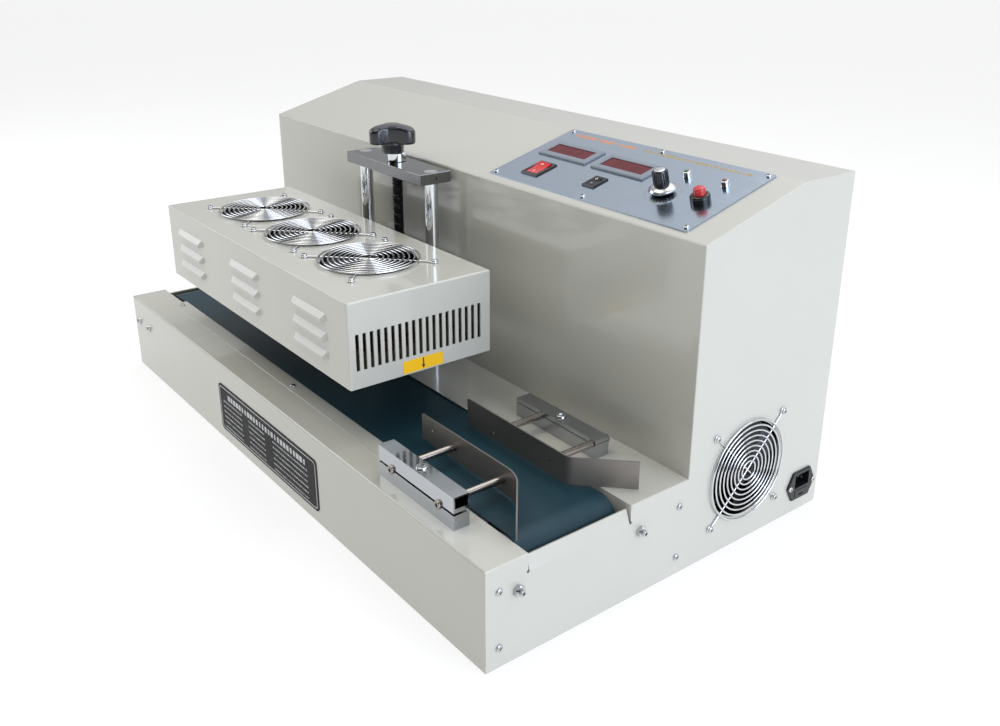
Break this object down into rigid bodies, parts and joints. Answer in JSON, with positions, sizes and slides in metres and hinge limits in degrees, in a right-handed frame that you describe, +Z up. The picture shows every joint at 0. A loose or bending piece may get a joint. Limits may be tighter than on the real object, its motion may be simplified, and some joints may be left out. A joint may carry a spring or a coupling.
{
  "type": "table-top induction sealer",
  "caption": "Table-top induction cap sealer: belt conveyor in a cream sheet-steel base, fan-cooled sealing head on a hand-screw lift, guide rails and a sloped control panel.",
  "frame": {"origin": "centre of the bounding box, at the underside of the base", "axes": "+X along the belt towards the discharge end, +Y from the operator to the back, +Z up"},
  "size_m": [0.8766, 0.4784, 0.3923],
  "materials": {
    "cream_paint": "glossy warm ivory powder coat",
    "belt_pvc": "dark teal PVC belting",
    "brushed_stainless": "brushed stainless sheet",
    "ground_steel": "ground bare steel",
    "galvanised": "zinc plated folded steel",
    "polished_aluminium": "drawn bright aluminium",
    "cast_aluminium": "machined aluminium",
    "chrome_plate": "polished chrome",
    "bright_screws": "bright zinc plated screws",
    "fan_black": "black glass-filled plastic",
    "bakelite": "black phenolic",
    "switch_black": "black switch plastic",
    "rocker_red": "red translucent plastic",
    "button_red": "red plastic",
    "bezel_grey": "grey plastic",
    "display_glass": "dark red filter window",
    "black_oxide": "black oxide steel",
    "rubber_lag": "rubber lagged roller",
    "plate_black": "black anodised plate",
    "label_yellow": "yellow vinyl",
    "board_laminate": "glass-fibre board",
    "copper_coil": "enamelled copper wire",
    "bronze": "bronze",
    "motor_grey": "grey motor paint",
    "circuit": "circuit board with heat sink"
  },
  "bodies": {
    "machine": {"front_cover": "cream_paint", "rear_deck": "cream_paint", "bottom_pan": "galvanised", "end_plate_left": "cream_paint", "end_plate_right": "cream_paint", "cabinet_shell": "cream_paint", "back_panel": "cream_paint", "cover_screws": "bright_screws", "belt_strips": "cream_paint", "nameplate": "plate_black", "generator_board": "circuit", "power_inlet": "switch_black", "conveyor_belt": "belt_pvc", "belt_bed": "brushed_stainless", "shaft_supports": "galvanised", "gearmotor": "motor_grey", "tension_blocks": "cast_aluminium", "roller_bolts": "bright_screws", "end_fan_frame": "fan_black", "end_fan_guard": "chrome_plate", "lift_columns": "chrome_plate", "cross_bars": "ground_steel", "front_clamp": "polished_aluminium", "rear_clamp": "polished_aluminium", "control_panel": "brushed_stainless", "display_bezels": "bezel_grey", "display_windows": "display_glass", "switch_frames": "switch_black", "pot_body": "galvanised", "button_collar": "bakelite", "lamp_holders": "chrome_plate"},
    "head": {"head_housing": "cream_paint", "head_base_plate": "board_laminate", "induction_coil": "copper_coil", "head_carriage": "cast_aluminium", "column_bushes": "bronze", "head_fan_frames": "fan_black", "head_fan_guards": "chrome_plate", "head_fan_screws": "bright_screws", "arrow_label": "label_yellow"},
    "lift_knob": {"star_knob": "bakelite", "knob_collar": "chrome_plate", "lead_screw": "black_oxide"},
    "fan_1": {"head_impeller_1": "fan_black"},
    "fan_2": {"head_impeller_2": "fan_black"},
    "fan_3": {"head_impeller_3": "fan_black"},
    "fan_end": {"end_impeller": "fan_black"},
    "drive_roll": {"drive_roller": "rubber_lag"},
    "idler_roll": {"idler_roller": "galvanised"},
    "front_guide": {"front_guide_plate": "brushed_stainless", "front_guide_rods": "brushed_stainless"},
    "rear_guide": {"rear_guide_plate": "brushed_stainless", "rear_guide_rods": "brushed_stainless"},
    "front_clamp_knob": {"front_clamp_screw": "bright_screws"},
    "rear_clamp_knob": {"rear_clamp_screw": "bright_screws"},
    "power_switch": {"power_rocker": "rocker_red"},
    "mode_switch": {"mode_rocker": "switch_black"},
    "power_dial": {"pot_knob": "bakelite"},
    "start_button": {"push_button": "button_red"},
    "fuse_tray": {"fuse_drawer": "switch_black"}
  },
  "joints": [
    {"name": "head_lift", "type": "slide", "parent": "machine", "child": "head", "axis": [0, 0, 1], "range_m": [-0.06, 0.07]},
    {"name": "lift_knob_turn", "type": "hinge", "parent": "machine", "child": "lift_knob", "pos_m": [-0.05565, -0.00985, 0.371], "axis": [0, 0, 1], "range_deg": [-8410, 7210]},
    {"name": "head_fan_1_spin", "type": "hinge", "parent": "head", "child": "fan_1", "pos_m": [-0.19565, -0.12635, 0.255], "axis": [0, 0, 1], "continuous": true},
    {"name": "head_fan_2_spin", "type": "hinge", "parent": "head", "child": "fan_2", "pos_m": [-0.06415, -0.12635, 0.255], "axis": [0, 0, 1], "continuous": true},
    {"name": "head_fan_3_spin", "type": "hinge", "parent": "head", "child": "fan_3", "pos_m": [0.06735, -0.12635, 0.255], "axis": [0, 0, 1], "continuous": true},
    {"name": "end_fan_spin", "type": "hinge", "parent": "machine", "child": "fan_end", "pos_m": [0.41585, 0.10615, 0.0866], "axis": [1, 0, 0], "continuous": true},
    {"name": "drive_roller_spin", "type": "hinge", "parent": "machine", "child": "drive_roll", "pos_m": [-0.39955, -0.1261, 0.0795], "axis": [0, 1, 0], "continuous": true},
    {"name": "idler_roller_spin", "type": "hinge", "parent": "machine", "child": "idler_roll", "pos_m": [0.39185, -0.1261, 0.0795], "axis": [0, 1, 0], "continuous": true},
    {"name": "front_guide_slide", "type": "slide", "parent": "machine", "child": "front_guide", "axis": [0, -1, 0], "range_m": [0, 0.04]},
    {"name": "rear_guide_slide", "type": "slide", "parent": "machine", "child": "rear_guide", "axis": [0, 1, 0], "range_m": [0, 0.024]},
    {"name": "front_clamp_screw_turn", "type": "hinge", "parent": "machine", "child": "front_clamp_knob", "pos_m": [0.29785, -0.2116, 0.14], "axis": [0, 0, 1], "range_deg": [0, 360]},
    {"name": "rear_clamp_screw_turn", "type": "hinge", "parent": "machine", "child": "rear_clamp_knob", "pos_m": [0.27835, -0.02135, 0.1275], "axis": [0, 0, 1], "range_deg": [0, 360]},
    {"name": "power_switch_rock", "type": "hinge", "parent": "machine", "child": "power_switch", "pos_m": [0.14035, 0.05819, 0.35868], "axis": [1, 0, 0], "range_deg": [-16, 0]},
    {"name": "mode_switch_rock", "type": "hinge", "parent": "machine", "child": "mode_switch", "pos_m": [0.22985, 0.06205, 0.35975], "axis": [1, 0, 0], "range_deg": [-16, 0]},
    {"name": "power_dial_turn", "type": "hinge", "parent": "machine", "child": "power_dial", "pos_m": [0.31585, 0.07368, 0.37388], "axis": [0, -0.268, 0.9634], "range_deg": [-150, 150]},
    {"name": "start_button_press", "type": "slide", "parent": "machine", "child": "start_button", "axis": [0, 0.268, -0.9634], "range_m": [0, 0.003], "stiffness_N_per_m": 400, "springref_m": -0.002},
    {"name": "fuse_drawer_pull", "type": "slide", "parent": "machine", "child": "fuse_tray", "axis": [1, 0, 0], "range_m": [0, 0.014]}
  ],
  "couplings": [
    {"joint": "lift_knob_turn", "follows": "head_lift", "rad_per_m": -2094.4},
    {"joint": "idler_roller_spin", "follows": "drive_roller_spin", "ratio": 1}
  ]
}
